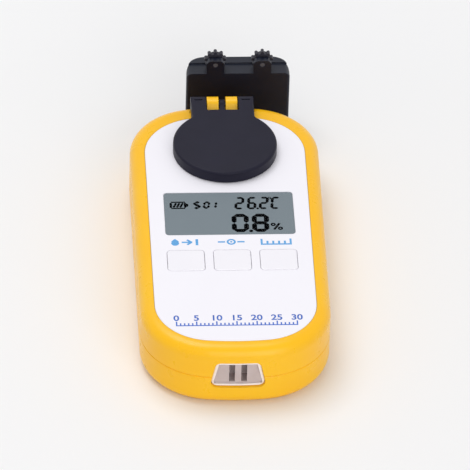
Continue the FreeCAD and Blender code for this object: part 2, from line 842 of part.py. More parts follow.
def sample_cover():
    """Round cover on a short neck with two hinge ears, hollow underneath."""
    neck_half = ear_spacing / 2 + ear_width / 2
    disc = rod(0, well_y, lid_radius, lid_bottom, lid_top)
    plate = disc.fuse(slab(-neck_half, neck_half, well_y, hinge_y, lid_bottom, lid_top)).removeSplitter()
    inner = [edge for edge in plate.Edges
             if edge.BoundBox.ZLength > 1 and well_y + 1 < edge_middle(edge).y < hinge_y - 1]
    plate = plate.makeFillet(lid_neck_fillet, inner)
    rim = [edge for edge in level_edges(plate, lid_top) if edge_middle(edge).y < hinge_y - 0.01]
    plate = plate.makeFillet(lid_edge_round, rim)
    notch_half = ear_spacing / 2 - ear_width / 2
    plate = plate.cut(slab(-notch_half, notch_half, notch_y, hinge_y + 1, lid_bottom - 1, lid_top + 1))
    plate = plate.cut(rod(0, well_y, lid_radius - lid_wall, lid_bottom - 1, lid_top - lid_plate))
    for x in ear_places:
        plate = plate.fuse(rod_x(x, ear_width, hinge_y, hinge_z, hinge_radius))
        plate = plate.cut(slab(x - ear_slot_width / 2, x + ear_slot_width / 2,
                               hinge_y - ear_slot_offset - ear_slot_length / 2,
                               hinge_y - ear_slot_offset + ear_slot_length / 2,
                               lid_top - ear_slot_depth, lid_top + 1))
    tongue = slab(-tongue_width / 2, tongue_width / 2, notch_y - neck_cut_gap / 2, hinge_y,
                  lid_bottom, hinge_z + tongue_rise)
    plate = plate.fuse([tongue, rod_x(0, tongue_width, hinge_y, hinge_z, tongue_radius)])
    return plate.cut(pin_bore(pin_radius + pin_clearance))


def cover_lining():
    top = lid_top - lid_plate
    return rod(0, well_y, lining_radius, top - lining_thickness, top)


def cover_seal():
    top = lid_top - lid_plate
    ring = rod(0, well_y, seal_outer_radius, top - seal_thickness, top)
    return ring.cut(rod(0, well_y, seal_inner_radius, top - seal_thickness - 1, top + 1))


def hinge_pin():
    return rod_x(0, ear_spacing + ear_width - 2 * pin_end_inset, hinge_y, hinge_z, pin_radius)


def block_form(inset, bottom, top):
    """Outline of the upright block, flat in front and round at its two back corners."""
    y0 = block_front_y + inset
    y1 = block_front_y + block_depth - inset
    half = block_width / 2 - inset
    solid = slab(block_x - half, block_x + half, y0, y1, bottom, top)
    upright = [edge for edge in solid.Edges if edge.BoundBox.ZLength > (top - bottom) / 2]
    back = [edge for edge in upright if edge_middle(edge).y > block_front_y + block_depth / 2]
    solid = solid.makeFillet(block_back_round - inset, back)
    if inset > 0:
        return solid
    upright = [edge for edge in solid.Edges if edge.BoundBox.ZLength > (top - bottom) / 2]
    front = [edge for edge in upright if abs(edge_middle(edge).y - y0) < 0.01]
    return solid.makeFillet(block_front_round, front)


def arch_form(x, width, radius, y0, y1, bottom, top):
    """Upright slab centred at x, with its two top edges rounded along Y."""
    solid = slab(x - width / 2, x + width / 2, y0, y1, bottom, top)
    along = [edge for edge in level_edges(solid, top) if edge.BoundBox.YLength > (y1 - y0) / 2]
    return solid.makeFillet(radius, along)


def block_body(y0, bottom, top):
    """The block from one depth back to its rear, with its two top side edges rounded."""
    arch = arch_form(block_x, block_width, block_side_round, y0, block_front_y + block_depth + 1,
                     bottom, top)
    return block_form(0, bottom, top).common(arch)


def block_shell():
    step_bottom = block_height - block_wall
    shell = block_body(block_front_y - 1, 0, block_height)
    shell = shell.fuse(block_body(block_front_y + block_step_depth, step_bottom,
                                  block_height + block_step_rise))
    shell = shell.cut(block_form(block_wall, -1, step_bottom))
    for x in wheel_places:
        arm = arch_form(x, arm_width, arm_top_round, block_front_y, block_front_y + arm_thickness,
                        step_bottom, arm_top)
        slot_radius = wheel_tip_radius + wheel_slot_clearance
        shell = shell.cut(rod_y(x, block_front_y + arm_thickness,
                                wheel_front_y + wheel_thickness + axle_head_thickness + wheel_gap,
                                wheel_z, slot_radius))
        shell = shell.fuse(arm)
        shell = shell.cut(rod_y(x, block_front_y - 1, block_front_y + arm_thickness + 1, wheel_z,
                                axle_radius + axle_clearance))
    return shell


def block_base():
    return block_form(block_wall + block_base_clearance, 0, block_base_thickness)


def toothed_wheel(x):
    """Small wheel with narrow rounded teeth, turning on an axle along Y."""
    y0 = wheel_front_y
    y1 = wheel_front_y + wheel_thickness
    wheel = rod_y(x, y0, y1, wheel_z, wheel_root_radius)
    half = wheel_tooth_width / 2
    tooth = slab(x - half, x + half, y0, y1, wheel_z + wheel_root_radius / 2,
                 wheel_z + wheel_tip_radius - half)
    tooth = tooth.fuse(rod_y(x, y0, y1, wheel_z + wheel_tip_radius - half, half))
    for number in range(wheel_teeth):
        turned = tooth.copy()
        turned.rotate(Vector(x, y0, wheel_z), Vector(0, 1, 0), number * 360.0 / wheel_teeth)
        wheel = wheel.fuse(turned)
    return wheel.cut(rod_y(x, y0 - 1, y1 + 1, wheel_z, axle_radius + axle_clearance))


def wheel_axle(x):
    head_start = wheel_front_y + wheel_thickness + axle_clearance
    shank = rod_y(x, block_front_y + axle_clearance, head_start, wheel_z, axle_radius)
    return shank.fuse(rod_y(x, head_start, head_start + axle_head_thickness, wheel_z, axle_head_radius))


save("upper_housing", [upper_housing()])
save("lower_housing", [lower_housing()])
save("housing_gasket", [housing_gasket()])
save("front_panel", [front_panel()])
save("display_window", [display_window()])
save("display_frame", [display_frame()])
save("display_glass", [display_glass()])
save("contact_strips", contact_strips())
for name, place in zip(("read_key", "calibrate_key", "scale_key"), key_places):
    save(name, [key(place)])
save("dome_switches", [dome_switch(x) for x in key_places])
save("main_board", [main_board()])
save("board_parts", board_parts())
save("board_screws", [screw_from_below(x, y, board_bottom, board_screw_radius,
                                       board_thickness + board_screw_reach) for x, y in post_places])
save("sample_well", [sample_well()])
save("prism", [prism()])
save("prism_seal", [prism_seal()])
save("optics_block", [optics_block()])
save("optics_screws", [optics_screw(x, y) for x, y in optics_screw_places])
save("light_source", [light_source()])
save("collimating_lens", [collimating_lens()])
save("image_sensor", [image_sensor()])
save("sensor_board", [sensor_board()])
save("temperature_probes", temperature_probe())
save("battery", [battery()])
save("battery_plate", [battery_plate()])
save("battery_spring", [battery_spring()])
save("battery_cover", [battery_cover()])
save("housing_screws", [screw_from_below(x, y, screw_pocket_depth, housing_screw_radius,
                                         housing_screw_length) for x, y in boss_places])
save("strap_insert", [strap_insert()])
save("sample_cover", [sample_cover()])
save("cover_lining", [cover_lining()])
save("cover_seal", [cover_seal()])
save("hinge_pin", [hinge_pin()])
save("block_shell", [block_shell()])
save("block_base", [block_base()])
for name, place in zip(("toothed_wheel_left", "toothed_wheel_right"), wheel_places):
    save(name, [toothed_wheel(place)])
save("wheel_axles", [wheel_axle(x) for x in wheel_places])
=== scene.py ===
import math

import bpy
from mathutils import Matrix, Vector


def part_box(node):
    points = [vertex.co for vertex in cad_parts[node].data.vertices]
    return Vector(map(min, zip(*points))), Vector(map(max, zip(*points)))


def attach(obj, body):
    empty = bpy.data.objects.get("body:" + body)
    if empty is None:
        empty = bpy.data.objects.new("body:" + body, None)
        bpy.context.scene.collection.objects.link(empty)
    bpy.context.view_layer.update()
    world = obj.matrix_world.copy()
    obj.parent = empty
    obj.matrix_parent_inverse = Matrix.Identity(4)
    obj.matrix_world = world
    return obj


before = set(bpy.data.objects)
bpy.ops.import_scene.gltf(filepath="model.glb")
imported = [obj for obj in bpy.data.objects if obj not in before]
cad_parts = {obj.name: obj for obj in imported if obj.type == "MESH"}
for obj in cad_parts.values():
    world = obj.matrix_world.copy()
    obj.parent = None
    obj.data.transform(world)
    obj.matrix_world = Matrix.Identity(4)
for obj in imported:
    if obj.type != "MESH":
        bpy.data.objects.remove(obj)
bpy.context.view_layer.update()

bpy.ops.object.select_all(action="DESELECT")

# The two housing shells are moulded in orange-yellow plastic with a fine satin texture.
# The upper one carries the white face and the hinge knuckles, the lower one the battery bay,
# and four screws from below pull them together over a gasket.
mm = 0.001


def paint(red, green, blue):
    """A colour as it is read off a screen, turned into the values that a shader takes."""
    parts = [part / 255 for part in (red, green, blue)]
    return [part / 12.92 if part < 0.04045 else ((part + 0.055) / 1.055) ** 2.4 for part in parts] + [1.0]


def shader_of(finish):
    """The shader that a new material starts with."""
    return finish.node_tree.nodes["Principled BSDF"]


def new_finish(name, colour, roughness, metallic=0.0):
    """A material with one shader, its plain values set."""
    finish = bpy.data.materials.new(name)
    finish.use_nodes = True
    finish.diffuse_color = colour
    inputs = shader_of(finish).inputs
    inputs["Base Color"].default_value = colour
    inputs["Roughness"].default_value = roughness
    inputs["Metallic"].default_value = metallic
    return finish


def add_node(finish, kind, inputs=None, **settings):
    """A node with its settings, whose inputs take plain values or the outputs of other nodes."""
    node = finish.node_tree.nodes.new(kind)
    for name, value in settings.items():
        setattr(node, name, value)
    for name, value in (inputs or {}).items():
        if isinstance(value, bpy.types.NodeSocket):
            finish.node_tree.links.new(value, node.inputs[name])
        else:
            node.inputs[name].default_value = value
    return node


def feed(finish, **sources):
    """Lets patterns drive the shader: base_color, metallic, roughness or normal."""
    for name, source in sources.items():
        finish.node_tree.links.new(source, shader_of(finish).inputs[name.replace("_", " ").title()])


def own_place(finish, centre=(0, 0, 0)):
    """The piece's own coordinates in millimetres, from a centre given in metres."""
    place = add_node(finish, "ShaderNodeTexCoord").outputs["Object"]
    moved = add_node(finish, "ShaderNodeMapping", {
        "Vector": place, "Location": [-along / mm for along in centre], "Scale": [1 / mm] * 3})
    return moved.outputs["Vector"]


def clouds(finish, size, detail=2.0):
    """Soft random pattern, 0 to 1, with lumps about size millimetres across."""
    noise = add_node(finish, "ShaderNodeTexNoise", {
        "Vector": own_place(finish), "Scale": 1 / size, "Detail": detail})
    return noise.outputs["Fac"]


def spread(finish, source, low, high, source_low=0.3, source_high=0.7):
    """A number between low and high that follows a pattern."""
    ranged = add_node(finish, "ShaderNodeMapRange", {
        "Value": source, "From Min": source_low, "From Max": source_high, "To Min": low, "To Max": high})
    return ranged.outputs["Result"]


def reckon(finish, operation, *values):
    """The result of one sum on patterns and plain numbers."""
    return add_node(finish, "ShaderNodeMath", dict(enumerate(values)), operation=operation).outputs[0]


def mixed(finish, share, first, second):
    """A colour between two others."""
    mix = add_node(finish, "ShaderNodeMix", data_type="RGBA")
    for name, value in (("Factor_Float", share), ("A_Color", first), ("B_Color", second)):
        socket = next(s for s in mix.inputs if s.identifier == name)
        if isinstance(value, bpy.types.NodeSocket):
            finish.node_tree.links.new(value, socket)
        else:
            socket.default_value = value
    return next(s for s in mix.outputs if s.identifier == "Result_Color")


def bump(finish, height, depth, under=None):
    """Normal of a surface whose relief is depth millimetres high."""
    node = add_node(finish, "ShaderNodeBump", {"Height": height, "Distance": depth * mm, "Strength": 1.0})
    if under:
        finish.node_tree.links.new(under, node.inputs["Normal"])
    return node.outputs["Normal"]


def soft_edges(finish, radius):
    """Normal with every sharp edge rounded off by radius millimetres."""
    node = add_node(finish, "ShaderNodeBevel", {"Radius": radius * mm}, samples=6)
    return node.outputs["Normal"]


turned_edge = 0.86
flat_face = 0.995
bare_patch = 0.42
full_patch = 0.62


def worn_edges(finish, radius, rounded):
    """1 on the edges, which a hand or a pocket rubs and where a lighter colour paints a highlight, broken up
    by a pattern, and 0 elsewhere.
    """
    facing = add_node(finish, "ShaderNodeNewGeometry").outputs["Normal"]
    angle = add_node(finish, "ShaderNodeVectorMath", {0: rounded, 1: facing}, operation="DOT_PRODUCT")
    edge = spread(finish, angle.outputs["Value"], 1.0, 0.0, source_low=turned_edge, source_high=flat_face)
    patches = spread(finish, clouds(finish, radius * 6, 3.0), 0.0, 1.0,
                     source_low=bare_patch, source_high=full_patch)
    return reckon(finish, "MULTIPLY", edge, patches)


fade_size = 17.0
handling_size = 6.0
handling_smooth = 0.05
handling_dull = 0.07
most_wear_and_highlight = 0.45


def moulded_plastic(name, colour, faded, wear_and_highlight, roughness, grain=0.25, relief=0.006, edge=0.25, gloss=0.5):
    """Moulded plastic with a spark-eroded grain, slightly uneven in colour, polished along its edges, which
    are painted lighter: partly wear, partly a painted highlight.
    """
    finish = new_finish(name, colour, roughness)
    shader_of(finish).inputs["Specular IOR Level"].default_value = gloss
    rounded = soft_edges(finish, edge)
    wear_and_highlight_share = worn_edges(finish, edge, rounded)
    tone = mixed(finish, spread(finish, clouds(finish, fade_size, 3.0), 0.0, 1.0), colour, faded)
    # The edges turn towards the lighter edge colour: partly edge wear, partly a painted highlight.
    tone = mixed(finish, spread(finish, wear_and_highlight_share, 0.0, most_wear_and_highlight, source_low=0.0, source_high=1.0), tone, wear_and_highlight)
    handled = spread(finish, clouds(finish, handling_size, 4.0),
                     roughness - handling_smooth, roughness + handling_dull)
    grained = clouds(finish, grain)
    feed(finish, base_color=tone, roughness=handled, normal=bump(finish, grained, relief, rounded))
    return finish


def dress(finish, *names):
    """Gives a finish to whole nodes of the frame."""
    for name in names:
        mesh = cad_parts[name].data
        mesh.materials.clear()
        mesh.materials.append(finish)


# The lighter yellow on the edges is partly wear and partly a painted highlight along the rim.
shell_yellow = moulded_plastic("shell_yellow", paint(255, 191, 0), paint(255, 196, 2), paint(255, 214, 62),
                               0.3, relief=0.003, gloss=0.42)
dress(shell_yellow, "upper_housing", "lower_housing")

# A cord of soft black rubber lies in grooves between the two shells.
# It shows as a thin dark line round the housing and keeps splashed sample out.
gasket_rubber = new_finish("gasket_rubber", paint(38, 36, 36), 0.75)
feed(gasket_rubber,
     base_color=mixed(gasket_rubber, clouds(gasket_rubber, 1.5), paint(30, 29, 29), paint(48, 45, 43)),
     roughness=spread(gasket_rubber, clouds(gasket_rubber, 0.8), 0.66, 0.86),
     normal=bump(gasket_rubber, clouds(gasket_rubber, 0.12), 0.01))
dress(gasket_rubber, "housing_gasket")

# The face is one flat sheet of white plastic glued into the recess of the upper shell.
# Its surface is a hard film with the faint orange-peel of a rolled sheet.
panel_white = new_finish("panel_white", paint(248, 246, 253), 0.38)
panel_edge = soft_edges(panel_white, 0.12)
feed(panel_white,
     base_color=mixed(panel_white, clouds(panel_white, 22.0, 3.0), paint(247, 245, 252),
                      paint(249, 247, 254)),
     roughness=spread(panel_white, clouds(panel_white, 5.0, 4.0), 0.34, 0.44),
     normal=bump(panel_white, clouds(panel_white, 0.9), 0.002, panel_edge))
dress(panel_white, "front_panel")

# The display sits behind a clear window: a reflective grey film with dark segments right under
# the pane, and the glass that drives it below, in a frame on the main board.
window_low, window_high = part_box("display_window")
display_centre = (window_low + window_high) / 2
film_width = 39.4 * mm
film_height = 20.7 * mm
film_corner = 1.2 * mm
film_depth = 0.12 * mm
film_thickness = 0.05 * mm
film_z = window_high.z - film_depth


def only_select(*pieces):
    """Leaves just these pieces selected, the first of them active."""
    bpy.ops.object.select_all(action="DESELECT")
    for piece in pieces:
        piece.select_set(True)
    bpy.context.view_layer.objects.active = pieces[0]


def settle(piece):
    """Bakes a piece's place, turn and scale into its mesh."""
    only_select(piece)
    bpy.ops.object.transform_apply(location=True, rotation=True, scale=True)
    bpy.ops.object.select_all(action="DESELECT")
    return piece


def join_as(name, pieces):
    """Makes one piece of several."""
    for piece in pieces:
        settle(piece)
    only_select(*pieces)
    if len(pieces) > 1:
        bpy.ops.object.join()
    whole = bpy.context.view_layer.objects.active
    whole.name = name
    whole.data.name = name
    return settle(whole)


def thicken(piece, thickness):
    """Turns flat outlines into thin closed slabs that rise from where they lie."""
    only_select(piece)
    wall = piece.modifiers.new("wall", "SOLIDIFY")
    wall.thickness = thickness
    wall.offset = 1.0
    bpy.ops.object.modifier_apply(modifier=wall.name)
    return piece


def coat_with(piece, finish, body):
    """Gives a new piece its finish and lets it ride on its body."""
    piece.data.materials.clear()
    piece.data.materials.append(finish)
    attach(piece, body)
    return piece


bpy.ops.mesh.primitive_plane_add(size=1, location=(display_centre.x, display_centre.y, film_z))
display_film = bpy.context.object
display_film.scale = (film_width, film_height, 1)
settle(display_film)
only_select(display_film)
bpy.ops.object.mode_set(mode="EDIT")
bpy.ops.mesh.select_all(action="SELECT")
bpy.ops.mesh.bevel(offset=film_corner, segments=8, affect="VERTICES")
bpy.ops.object.mode_set(mode="OBJECT")
display_film = thicken(join_as("display_film", [display_film]), film_thickness)

display_grey = new_finish("display_grey", paint(127, 137, 144), 0.5)
shader_of(display_grey).inputs["Specular IOR Level"].default_value = 0.1
grey_tone = mixed(display_grey, clouds(display_grey, 9.0), paint(124, 133, 141), paint(130, 139, 146))
grey_grains = spread(display_grey, clouds(display_grey, 0.09), 0.0, 0.25)
feed(display_grey,
     base_color=mixed(display_grey, grey_grains, grey_tone, paint(146, 154, 160)),
     roughness=spread(display_grey, clouds(display_grey, 0.4), 0.42, 0.55),
     normal=bump(display_grey, clouds(display_grey, 0.08), 0.002))
coat_with(display_film, display_grey, "housing")

# The reading is made of segments: a small battery gauge and counter at the left, the temperature
# above and the result below it in large figures, with a percent sign beside them.
segment_depth = 0.02 * mm
segment_z = film_z + film_thickness
bars_of = {"0": "abcdef", "1": "bc", "2": "abged", "5": "afgcd", "6": "afgedc", "8": "abcdefg", "C": "afed"}
bar_place = {"a": (0.5, 1.0, 0), "g": (0.5, 0.5, 0), "d": (0.5, 0.0, 0), "f": (0.0, 0.75, 90),
             "b": (1.0, 0.75, 90), "e": (0.0, 0.25, 90), "c": (1.0, 0.25, 90)}
bar_gap_share = 0.12
bar_point_share = 0.46


def flat_bar(x, y, z, length, width, turn=0.0, pointed=0.0):
    """A flat bar along X before it is turned, in millimetres, its corners cut to points or left square."""
    bpy.ops.mesh.primitive_plane_add(size=1, location=(0, 0, 0))
    bar = bpy.context.object
    bar.scale = (length * mm, width * mm, 1)
    settle(bar)
    if pointed:
        only_select(bar)
        bpy.ops.object.mode_set(mode="EDIT")
        bpy.ops.mesh.select_all(action="SELECT")
        bpy.ops.mesh.bevel(offset=pointed * mm, segments=1, affect="VERTICES")
        bpy.ops.object.mode_set(mode="OBJECT")
    bar.location = (x * mm, y * mm, z)
    bar.rotation_euler.z = math.radians(turn)
    return bar


def flat_disc(x, y, z, radius, corners):
    """A flat disc, in millimetres apart from its level."""
    bpy.ops.mesh.primitive_circle_add(vertices=corners, radius=radius * mm, fill_type="NGON",
                                      location=(x * mm, y * mm, z))
    return bpy.context.object


def flat_ring(x, y, z, radius, width, corners):
    """A flat ring: a disc whose middle is inset and taken out."""
    ring = flat_disc(x, y, z, radius, corners)
    bpy.ops.object.mode_set(mode="EDIT")
    bpy.ops.mesh.select_all(action="SELECT")
    bpy.ops.mesh.inset(thickness=width * mm)
    bpy.ops.mesh.delete(type="FACE")
    bpy.ops.object.mode_set(mode="OBJECT")
    return ring


def figure(sign, x, y, width, height, thick, lean):
    """One seven-segment figure whose lower left bar ends lie at x, y."""
    pieces = []
    for bar in bars_of[sign]:
        across, along, turn = bar_place[bar]
        length = width if turn == 0 else height / 2
        middle_y = y + along * height
        middle_x = x + across * width + lean * along * height
        tilt = turn - math.degrees(math.atan(lean)) if turn else 0
        pieces.append(flat_bar(middle_x, middle_y, segment_z, length - bar_gap_share * thick, thick, tilt,
                               thick * bar_point_share))
    return pieces


result_start = 1.25
result_pitch = 6.15
result_foot = -3.05
result_point_x = 6.3
result_form = {"width": 3.7, "height": 7.35, "thick": 1.52, "lean": 0.02}
marks = []
for number, sign in enumerate("08"):
    marks += figure(sign, result_start + number * result_pitch, result_foot, **result_form)
marks.append(flat_disc(result_point_x, result_foot - 0.25, segment_z, radius=0.62, corners=12))

temperature_foot = 7.75
temperature_point_x = 8.8
degree_x = 12.6
degree_y = 12.7
temperature_form = {"width": 2.0, "height": 5.15, "thick": 0.88, "lean": 0.09}
for sign, start in (("2", 2.1), ("6", 5.9), ("2", 9.55), ("C", 13.1)):
    marks += figure(sign, start, temperature_foot, **temperature_form)
marks.append(flat_disc(temperature_point_x, temperature_foot - 0.05, segment_z, radius=0.42, corners=10))
marks.append(flat_ring(degree_x, degree_y, segment_z, radius=0.58, width=0.3, corners=14))

counter_foot = 8.15
counter_height = 2.8
counter_lean = 0.14
for sign, start, width, thick in (("5", -10.6, 1.5, 1.05), ("0", -7.6, 1.35, 0.8), ("1", -5.45, 1.35, 0.8)):
    marks += figure(sign, start, counter_foot, width, counter_height, thick, counter_lean)

gauge_x = -15.4
gauge_y = 9.6
gauge_half_height = 1.5
gauge_bars_x = -15.38
gauge_bar_pitch = 1.02
for number in (-1, 0, 1):
    marks.append(flat_bar(gauge_bars_x + number * gauge_bar_pitch, gauge_y, segment_z,
                          length=2.3, width=0.68, turn=68, pointed=0.2))
for side in (-1, 1):
    marks.append(flat_bar(gauge_x, gauge_y + side * gauge_half_height, segment_z, length=4.2, width=0.56))
for x, tall, thick in ((-17.62, 2.6, 0.74), (-13.25, 2.6, 0.74), (-12.68, 1.5, 0.8)):
    marks.append(flat_bar(x, gauge_y, segment_z, tall, thick, turn=90, pointed=0.34))

percent_x = 14.2
percent_y = -1.2
percent_ring_aside = 1.05
percent_ring_rise = 0.95
marks.append(flat_bar(percent_x, percent_y, segment_z, length=3.5, width=0.72, turn=60))
for side in (-1, 1):
    marks.append(flat_ring(percent_x + side * percent_ring_aside, percent_y - side * percent_ring_rise,
                           segment_z, radius=0.8, width=0.52, corners=14))
display_segments = thicken(join_as("display_segments", marks), segment_depth)

segment_black = new_finish("segment_black", paint(3, 4, 6), 0.5)
shader_of(segment_black).inputs["Specular IOR Level"].default_value = 0.0
feed(segment_black,
     base_color=mixed(segment_black, clouds(segment_black, 1.2), paint(2, 3, 5), paint(8, 9, 12)),
     roughness=spread(segment_black, clouds(segment_black, 0.5), 0.42, 0.58))
coat_with(display_segments, segment_black, "housing")

# The pane over the display is clear acrylic, polished, glued in flush with the face.
# Light and sight pass through it, and only its gloss shows.
gloss_straight_on = 0.002
gloss_aslant = 0.16
gloss_steepness = 4.0
window_clear = new_finish("window_clear", paint(235, 242, 242), 0.08)
window_through = add_node(window_clear, "ShaderNodeBsdfTransparent", {"Color": paint(250, 252, 252)})
window_gloss = add_node(window_clear, "ShaderNodeBsdfGlossy", {
    "Roughness": spread(window_clear, clouds(window_clear, 3.0, 4.0), 0.05, 0.12),
    "Normal": bump(window_clear, clouds(window_clear, 2.5), 0.001)})
window_slant = add_node(window_clear, "ShaderNodeLayerWeight", {"Blend": 0.5}).outputs["Facing"]
window_rise = reckon(window_clear, "POWER", window_slant, gloss_steepness)
window_share = spread(window_clear, window_rise, gloss_straight_on, gloss_aslant,
                      source_low=0.0, source_high=1.0)
window_mix = add_node(window_clear, "ShaderNodeMixShader", {
    0: window_share, 1: window_through.outputs["BSDF"], 2: window_gloss.outputs["BSDF"]})
window_clear.node_tree.nodes.remove(shader_of(window_clear))
window_clear.node_tree.links.new(window_mix.outputs["Shader"],
                                 window_clear.node_tree.nodes["Material Output"].inputs["Surface"])
dress(window_clear, "display_window")

# Under the pane the display glass stands in a pale plastic frame, and two strips of rubber with
# fine conductive layers join it to the main board.
glass_backing = new_finish("glass_backing", paint(120, 128, 128), 0.15)
feed(glass_backing,
     base_color=mixed(glass_backing, clouds(glass_backing, 4.0), paint(114, 122, 122), paint(124, 132, 132)),
     roughness=spread(glass_backing, clouds(glass_backing, 2.0), 0.1, 0.2))
dress(glass_backing, "display_glass")
dress(moulded_plastic("frame_grey", paint(225, 225, 222), paint(216, 216, 213), paint(238, 238, 236), 0.5),
      "display_frame")
strip_rubber = new_finish("strip_rubber", paint(140, 138, 140), 0.7)
strip_layers = add_node(strip_rubber, "ShaderNodeTexWave",
                        {"Vector": own_place(strip_rubber), "Scale": 3.0}, bands_direction="X")
feed(strip_rubber,
     base_color=mixed(strip_rubber, strip_layers.outputs["Fac"], paint(40, 40, 42), paint(168, 164, 164)),
     roughness=spread(strip_rubber, clouds(strip_rubber, 0.6), 0.62, 0.8))
dress(strip_rubber, "contact_strips")

# Three push keys of the same white plastic stand almost flush in openings of the face,
# each on a flange that holds it under the deck.
key_white = new_finish("key_white", paint(246, 244, 251), 0.4)
key_edge = soft_edges(key_white, 0.1)
feed(key_white,
     base_color=mixed(key_white, clouds(key_white, 8.0, 3.0), paint(244, 242, 249), paint(248, 246, 252)),
     roughness=spread(key_white, clouds(key_white, 3.0, 4.0), 0.34, 0.46),
     normal=bump(key_white, clouds(key_white, 0.5), 0.0015, key_edge))
dress(key_white, "read_key", "calibrate_key", "scale_key")

# Blue marks are screen-printed on the face: a sign above each key, for measuring a drop, for
# setting zero and for choosing the scale, and a plain graduated scale along the lower end.
face_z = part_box("front_panel")[1].z
print_z = face_z - 0.004 * mm
print_depth = 0.016 * mm
overprint_rise = 0.003 * mm
over_z = print_z + overprint_rise
top_z = over_z + overprint_rise
sign_y = -8.7
sign_stroke = 0.66


def sign_colour(name, colour, paler):
    """Printing ink that covers a little unevenly."""
    ink = new_finish(name, colour, 0.42)
    feed(ink,
         base_color=mixed(ink, spread(ink, clouds(ink, 0.35, 3.0), 0.0, 1.0), colour, paler),
         roughness=spread(ink, clouds(ink, 0.7), 0.36, 0.5))
    return ink


sky_ink = sign_colour("sky_ink", paint(72, 152, 218), paint(104, 174, 228))
royal_ink = sign_colour("royal_ink", paint(36, 88, 190), paint(72, 118, 208))

drop_x = -17.0
arrow_x = -13.5
barb_x = -12.65
barb_rise = 0.55
line_x = -10.4
drop_sign = [flat_disc(drop_x, sign_y - 0.4, print_z, radius=1.2, corners=24),
             flat_bar(drop_x, sign_y + 0.5, over_z, length=1.68, width=1.68, turn=45),
             flat_bar(arrow_x, sign_y, print_z, length=3.0, width=sign_stroke),
             flat_bar(barb_x, sign_y + barb_rise, over_z, length=1.9, width=sign_stroke, turn=-40),
             flat_bar(barb_x, sign_y - barb_rise, top_z, length=1.9, width=sign_stroke, turn=40),
             flat_bar(line_x, sign_y, print_z, length=2.9, width=0.8, turn=90)]
dash_x = 2.95
zero_sign = [flat_ring(0, sign_y, print_z, radius=1.4, width=0.6, corners=28),
             flat_disc(0, sign_y, print_z, radius=0.36, corners=12)]
for side in (-1, 1):
    zero_sign.append(flat_bar(side * dash_x, sign_y, print_z, length=2.2, width=sign_stroke))
rule_x = 13.6
rule_y = sign_y - 1.3
rule_length = 9.4
rule_stroke = 0.62
rule_marks = 6
rule_pitch = 1.76
rule_mark_end = 2.6
rule_mark_between = 1.6
scale_sign = [flat_bar(rule_x, rule_y, print_z, rule_length, rule_stroke)]
for number in range(rule_marks):
    tall = rule_mark_end if number in (0, rule_marks - 1) else rule_mark_between
    mark_x = rule_x + (number - (rule_marks - 1) / 2) * rule_pitch
    scale_sign.append(flat_bar(mark_x, rule_y + tall / 2, over_z, tall, rule_stroke, turn=90))
key_signs = thicken(join_as("key_signs", drop_sign + zero_sign + scale_sign), print_depth)
coat_with(key_signs, sky_ink, "housing")

scale_y = -48.4
scale_start = -18.0
scale_step = 1.2
scale_steps = 30
scale_stroke = 0.42
tick_long = 1.9
tick_short = 1.15
numeral_every = 5
numeral_rise = 2.35
numeral_size = 3.5
numeral_swell = 0.08
ticks = [flat_bar(0, scale_y, print_z, scale_steps * scale_step + scale_stroke, scale_stroke)]
for number in range(scale_steps + 1):
    tall = tick_long if number % numeral_every == 0 else tick_short
    tick_x = scale_start + number * scale_step
    ticks.append(flat_bar(tick_x, scale_y + tall / 2, over_z, tall, scale_stroke, turn=90))
for number in range(0, scale_steps + 1, numeral_every):
    numeral_x = scale_start + number * scale_step
    bpy.ops.object.text_add(location=(numeral_x * mm, (scale_y + numeral_rise) * mm, print_z))
    numeral = bpy.context.object
    numeral.data.body = str(number)
    numeral.data.size = numeral_size * mm
    numeral.data.offset = numeral_swell * mm
    numeral.data.align_x = "CENTER"
    bpy.ops.object.convert(target="MESH")
    ticks.append(bpy.context.object)
face_scale = thicken(join_as("face_scale", ticks), print_depth)
coat_with(face_scale, royal_ink, "housing")

# Each key presses a snap dome of spring steel on the main board.
# The same bright strip steel makes the two battery contacts.
spring_bright = new_finish("spring_bright", paint(205, 204, 200), 0.25, 1.0)
feed(spring_bright,
     base_color=mixed(spring_bright, clouds(spring_bright, 2.0), paint(196, 195, 190), paint(214, 213, 210)),
     roughness=spread(spring_bright, clouds(spring_bright, 0.5, 3.0), 0.2, 0.36))
dress(spring_bright, "dome_switches", "battery_plate", "battery_spring")

# The main board and the small sensor board are glass-fibre boards under green lacquer, with
# copper tracks that show as lighter lines.
board_green = new_finish("board_green", paint(24, 98, 58), 0.35)
board_tracks = add_node(board_green, "ShaderNodeTexBrick", {
    "Vector": own_place(board_green), "Scale": 0.22, "Mortar Size": 0.035,
    "Brick Width": 0.8, "Row Height": 0.3,
    "Color1": paint(20, 88, 52), "Color2": paint(24, 96, 57), "Mortar": paint(54, 132, 84)})
feed(board_green,
     base_color=board_tracks.outputs["Color"],
     roughness=spread(board_green, clouds(board_green, 3.0), 0.28, 0.42),
     normal=bump(board_green, board_tracks.outputs["Fac"], -0.01))
dress(board_green, "main_board", "sensor_board")
chip_black = new_finish("chip_black", paint(40, 40, 42), 0.55)
feed(chip_black,
     base_color=mixed(chip_black, clouds(chip_black, 0.6), paint(34, 34, 36), paint(50, 50, 52)),
     roughness=spread(chip_black, clouds(chip_black, 0.4), 0.48, 0.66),
     normal=bump(chip_black, clouds(chip_black, 0.1), 0.004))
dress(chip_black, "board_parts", "image_sensor")

# All screws are zinc-plated steel with a cross recess: four for the board, two for the optics
# block and four longer ones that hold the housing together.
screw_zinc = new_finish("screw_zinc", paint(190, 192, 194), 0.32, 1.0)
screw_edge = soft_edges(screw_zinc, 0.08)
feed(screw_zinc,
     base_color=mixed(screw_zinc, clouds(screw_zinc, 0.9, 3.0), paint(176, 178, 182), paint(205, 206, 206)),
     roughness=spread(screw_zinc, clouds(screw_zinc, 0.5, 3.0), 0.26, 0.42),
     normal=bump(screw_zinc, clouds(screw_zinc, 0.15), 0.002, screw_edge))
dress(screw_zinc, "board_screws", "optics_screws", "housing_screws")

